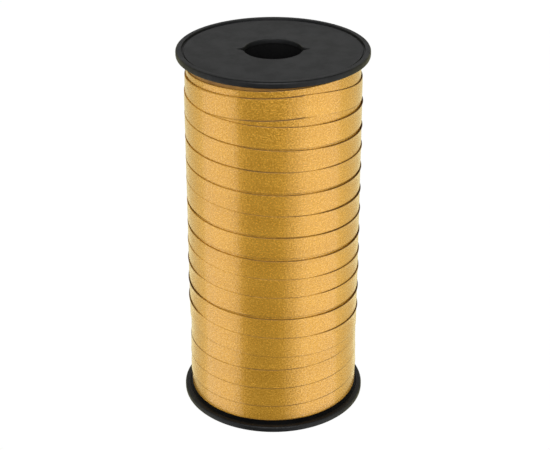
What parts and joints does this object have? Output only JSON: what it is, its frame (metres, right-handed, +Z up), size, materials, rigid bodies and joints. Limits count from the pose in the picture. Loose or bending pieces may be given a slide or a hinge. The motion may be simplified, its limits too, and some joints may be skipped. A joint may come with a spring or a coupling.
{
  "type": "curling ribbon spool",
  "caption": "Tall flanged plastic spool in two plug-together halves, fully wound with narrow satin curling ribbon whose loose end is taped down.",
  "frame": {"origin": "centre of the base, on the plane that the lower rim rests on", "axes": "+Z up the spool's axis; -Y is the front; the ribbon's loose end is at the back, towards +Y"},
  "size_m": [0.042, 0.042, 0.085],
  "materials": {
    "black_plastic": "satin moulded, faint grain",
    "gold_ribbon": "pearlescent satin film with a fine lengthwise grain",
    "buried_ribbon": "the edges of many wound layers",
    "clear_tape": "clear adhesive tape"
  },
  "bodies": {
    "wound_spool": {"lower_spool_half": "black_plastic", "ribbon_buried_layers": "buried_ribbon", "ribbon_layer_below": "gold_ribbon", "ribbon_last_layer": "gold_ribbon"},
    "upper_half": {"upper_spool_half": "black_plastic"},
    "loose_end": {"ribbon_loose_end": "gold_ribbon", "tape_tab": "clear_tape"}
  },
  "joints": [
    {"name": "halves_pull_apart", "type": "slide", "parent": "wound_spool", "child": "upper_half", "axis": [0, 0, 1], "range_m": [0, 0.012]},
    {"name": "loose_end_peel", "type": "hinge", "parent": "wound_spool", "child": "loose_end", "pos_m": [0.01112, 0.0159, 0.0195], "axis": [0, 0, -1], "range_deg": [0, 100]}
  ]
}
